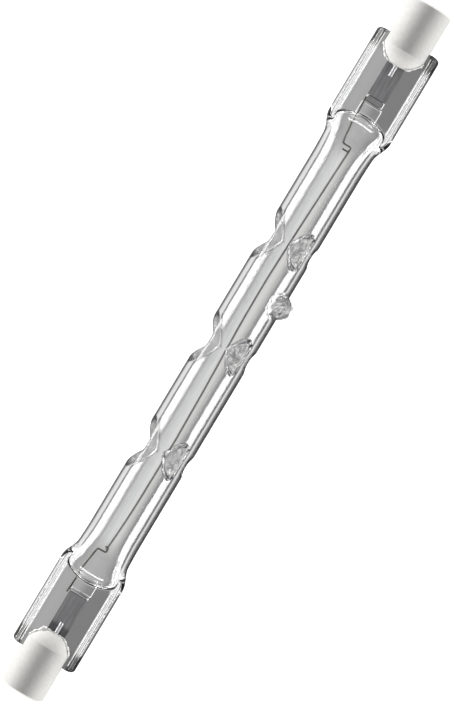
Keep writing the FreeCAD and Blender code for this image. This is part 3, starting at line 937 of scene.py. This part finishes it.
def grown_on(path, tree, ids, values):
    """The mesh that a tree grows on a path; path and modifier are then removed."""
    modifier = path.modifiers.new("grow", "NODES")
    modifier.node_group = tree
    for label, value in values.items():
        modifier[ids[label]] = value
    bpy.context.view_layer.update()
    evaluated = path.evaluated_get(bpy.context.evaluated_depsgraph_get())
    mesh = bpy.data.meshes.new_from_object(evaluated)
    path.modifiers.remove(modifier)
    bpy.data.objects.remove(path)
    return mesh


print("tree helpers", [f.__name__ for f in (new_tree, end_tree, swept, path_object, grown_on)])

# %% [markdown]
# The first tree winds a coil: a spiral of the wanted number of turns is bent along a path curve, and
# a round profile is swept along it.

# %% Coil winder
winder, winder_ids, group_in, group_out = new_tree("coil_winder", [
    ("Turns", "NodeSocketFloat"), ("Steps per turn", "NodeSocketInt"), ("Coil radius", "NodeSocketFloat"),
    ("Wire radius", "NodeSocketFloat"), ("Material", "NodeSocketMaterial")])
given = group_in.outputs
spiral = add_node(winder, "GeometryNodeCurveSpiral", {
    "Height": 1.0, "Rotations": given["Turns"], "Resolution": given["Steps per turn"],
    "Start Radius": given["Coil radius"], "End Radius": given["Coil radius"]})
place = add_node(winder, "GeometryNodeInputPosition")
split = add_node(winder, "ShaderNodeSeparateXYZ", {0: place.outputs[0]})
on_path = add_node(winder, "GeometryNodeSampleCurve", {
    "Curves": given["Geometry"], "Factor": split.outputs["Z"]}, mode="FACTOR")
around = add_node(winder, "ShaderNodeCombineXYZ", {"Y": split.outputs["X"], "Z": split.outputs["Y"]})
moved = add_node(winder, "ShaderNodeVectorMath", {
    0: on_path.outputs["Position"], 1: around.outputs[0]}, operation="ADD")
bend = add_node(winder, "GeometryNodeSetPosition", {
    "Geometry": spiral.outputs["Curve"], "Position": moved.outputs[0]})
coil = swept(winder, bend.outputs["Geometry"], given["Wire radius"], 6)
end_tree(winder, coil, given["Material"], group_out)
print("coil winder nodes", len(winder.nodes))

# %% [markdown]
# The filament is one long fine coil that wanders a little between its supports. Its path bows as in
# the photograph, and lies near the axis at the dents.

# %% Filament
COIL_END = 34.4
filament_path = [
    (-COIL_END, -0.05, 0.0), (-31.0, -0.28, 0.0), (-26.0, -0.46, 0.0), (-20.0, -0.5, 0.0),
    (-15.0, -0.48, 0.0), (-8.0, -0.32, 0.0), (0.0, -0.06, 0.0), (4.0, 0.12, 0.0), (10.0, 0.2, 0.0),
    (15.0, 0.12, 0.0), (20.0, -0.02, 0.0), (27.0, -0.25, 0.0), (COIL_END, -0.5, 0.0)]
COIL_TURNS = 390
COIL_RADIUS, COIL_WIRE = 0.15, 0.045
coil_mesh = grown_on(path_object("filament_path", filament_path), winder, winder_ids, {
    "Turns": float(COIL_TURNS), "Steps per turn": 11, "Coil radius": COIL_RADIUS * MM,
    "Wire radius": COIL_WIRE * MM, "Material": tungsten})
new_piece("filament_turns", coil_mesh, tungsten, "filament_coil", corner_deg=80.0)

# %% [markdown]
# The leads are plain wires with tight bends. A second small tree sweeps a round profile along a
# path with filleted corners, and serves all four of them.

# %% Wire tree
wire_tree, wire_ids, group_in, group_out = new_tree("bent_wire", [
    ("Bend radius", "NodeSocketFloat"), ("Wire radius", "NodeSocketFloat"),
    ("Material", "NodeSocketMaterial")])
given = group_in.outputs
fillet = add_node(wire_tree, "GeometryNodeFilletCurve", {
    "Curve": given["Geometry"], "Radius": given["Bend radius"], "Count": 8, "Limit Radius": True,
}, mode="POLY")
wire = swept(wire_tree, fillet.outputs["Curve"], given["Wire radius"], 16)
end_tree(wire_tree, wire, given["Material"], group_out)


def poly_path(name, points_mm):
    path = path_object(name, points_mm)
    path.data.splines[0].type = "POLY"
    return path


def wire_piece(name, node, route, radius, bend, material):
    mesh = grown_on(poly_path(name + "_path", route), wire_tree, wire_ids, {
        "Bend radius": bend * MM, "Wire radius": radius * MM, "Material": material})
    return new_piece(name, mesh, material, node)


print("bent wire nodes", len(wire_tree.nodes))

# %% [markdown]
# An inner lead hooks round the filament's last turns, steps to the side and runs to the foil. An
# outer lead runs straight from the foil to the contact, with a small step off the foil's face.

# %% Leads
INNER_WIRE, INNER_BEND = 0.14, 0.2
OUTER_WIRE, OUTER_BEND = 0.32, 0.3
left_route = [
    (-34.0, 0.3, 0.0), (-34.0, -0.2, 0.0), (-34.75, -0.2, 0.0), (-34.8, 1.1, 0.0),
    (-36.6, 1.45, 0.0), (-42.6, 1.8, 0.07)]
right_route = [
    (34.2, 0.55, 0.0), (34.2, -0.5, 0.0), (34.95, -0.5, 0.0), (35.0, 0.85, 0.0),
    (36.4, 1.15, 0.0), (42.6, 1.45, 0.07)]
for name, route in (("left_inner_lead", left_route), ("right_inner_lead", right_route)):
    wire_piece(name + "_wire", name, route, INNER_WIRE, INNER_BEND, tungsten)
for side, name in ((-1, "left_outer_lead"), (1, "right_outer_lead")):
    route = [(side * 46.9, 0.0, 0.1), (side * 50.5, 0.0, 0.1),
             (side * 51.5, 0.0, 0.0), (side * 55.9, 0.0, 0.0)]
    wire_piece(name + "_wire", name, route, OUTER_WIRE, OUTER_BEND, wire_grey)

# %% [markdown]
# A foil is a strip that was etched thin at its long edges. Its section is a flat lozenge, and its
# inner end lies in the smaller gas pocket.

# %% Foils
FOIL_START = 42.15
FOIL_EDGE = 0.12

for side, name in ((-1, "left"), (1, "right")):
    low, high = (np.array(corner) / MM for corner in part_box(name + "_seal_foil"))
    half_width, half_height, level = high[1], (high[2] - low[2]) / 2, (high[2] + low[2]) / 2
    start, end = sorted((side * FOIL_START, side * max(abs(low[0]), abs(high[0]))))
    flat = half_width - FOIL_EDGE
    section = [(-half_width, 0.0), (-flat, -half_height), (flat, -half_height),
               (half_width, 0.0), (flat, half_height), (-flat, half_height)]
    points = [(x, y, level + z) for x in (start, end) for y, z in section]
    faces = [(k, (k + 1) % 6, (k + 1) % 6 + 6, k + 6) for k in range(6)]
    faces += [tuple(reversed(range(6))), tuple(range(6, 12))]
    foil_mesh = bpy.data.meshes.new(name + "_foil_strip")
    foil_mesh.from_pydata([tuple(c * MM for c in p) for p in points], [], faces)
    new_piece(name + "_foil_strip", foil_mesh, molybdenum, name + "_seal_foil",
              corner_deg=10.0)
    print(name, "foil from", round(start, 2), "to", round(end, 2), "mm")

# %% [markdown]
# Caps, cement and contacts keep their CAD shapes and get their finishes here.

# %% Ceramic, cement and CAD nodes
ceramic = mottled(
    "white_steatite", (1800.0, 6.0), [(0.3, (0.80, 0.79, 0.76)), (0.7, (0.87, 0.86, 0.83))],
    (0.00003, 0.5), Roughness=0.6)
chalk = mottled(
    "chalky_cement", (2500.0, 8.0), [(0.3, (0.82, 0.82, 0.80)), (0.7, (0.92, 0.92, 0.90))],
    (0.00006, 0.8), Roughness=0.9)

finishes = {"end_cap": ceramic, "cement": chalk, "contact": nickel}
for side in ("left_", "right_"):
    for name, material in finishes.items():
        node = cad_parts[side + name]
        for material_slot in node.material_slots:
            material_slot.material = material
print("finishes set on", len(finishes) * 2, "CAD nodes")

# %% [markdown]
# A little cement squeezed out where each cap's nose meets the seal. It is an uneven bead that
# follows the nose's line on the web, above and below. Slow waves of different lengths change its
# width, so no two places look alike.

# %% Cement fringe
CAP_NOSE = 48.8
NOSE_RADII = (1.6, 3.5)
NOSE_LENGTH = 2.1
NOSE_BULGE = 0.22
BEAD_WIDTH = 0.17
SMEAR_AT, SMEAR_WIDTH, SMEAR_HALF = 1.84, 0.42, 0.3


def nose_line():
    """Points (x, y) where the nose meets the web's face, from -Y to +Y."""
    share = np.linspace(1.0, 0.0, 40)
    bulge = NOSE_BULGE * 4 * share * (1 - share)
    radius = NOSE_RADII[0] + (NOSE_RADII[1] - NOSE_RADII[0]) * share + 0.74 * bulge
    x = CAP_NOSE + NOSE_LENGTH * share - 0.67 * bulge
    y = np.sqrt(radius ** 2 - WEB_HALF ** 2)
    flat_y = np.linspace(-y[-1], y[-1], 14)[1:-1]
    flat_x = np.full(len(flat_y), CAP_NOSE)
    return np.concatenate([x, flat_x, x[::-1]]), np.concatenate([-y, flat_y, y[::-1]])


def fringe(side, face):
    """Points and faces of one bead on the upper (1) or lower (-1) face of a seal."""
    x, y = nose_line()
    run = np.concatenate([[0.0], np.cumsum(np.hypot(np.diff(x), np.diff(y)))])
    width = BEAD_WIDTH + 0.06 * np.sin(2.9 * run + side) + 0.05 * np.sin(7.1 * run + 1.3 * face)
    width += 0.03 * np.sin(15.7 * run + 2.0 * side)
    if side < 0:
        width += SMEAR_WIDTH * np.exp(-((y - SMEAR_AT) / SMEAR_HALF) ** 2)
    along_x, along_y = np.gradient(x), np.gradient(y)
    length = np.hypot(along_x, along_y)
    out_x, out_y = -along_y / length, along_x / length
    points = []
    for turn in np.linspace(0.0, 2 * np.pi, 10, endpoint=False):
        reach, rise = width * math.cos(turn), 0.5 * (width + 0.1) * math.sin(turn)
        ring = [side * (x + out_x * reach), y + out_y * reach, face * WEB_HALF + rise]
        points.append(np.stack(ring, axis=1))
    points = np.stack(points, axis=1)
    rows, count = points.shape[:2]
    faces = [tuple(range(count)), tuple((rows - 1) * count + k for k in reversed(range(count)))]
    for row in range(rows - 1):
        for k in range(count):
            a, b = row * count + k, row * count + (k + 1) % count
            faces.append((a, a + count, b + count, b))
    return points.reshape(-1, 3), faces if side > 0 else [f[::-1] for f in faces]


for side, name in ((-1, "left"), (1, "right")):
    points, faces = [], []
    for face in (1, -1):
        new_points, new_faces = fringe(side, face)
        faces += [tuple(len(points) + k for k in f) for f in new_faces]
        points += [tuple(c * MM for c in p) for p in new_points]
    fringe_mesh = bpy.data.meshes.new(name + "_cement_fringe")
    fringe_mesh.from_pydata(points, [], faces)
    new_piece(name + "_cement_fringe", fringe_mesh, chalk, None, corner_deg=60.0)

# %% [markdown]
# Last, the box of the dressed model is printed.

# %% Sizes and finish
low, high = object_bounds()
print("visual box in mm", [round(v / MM, 2) for v in high - low])
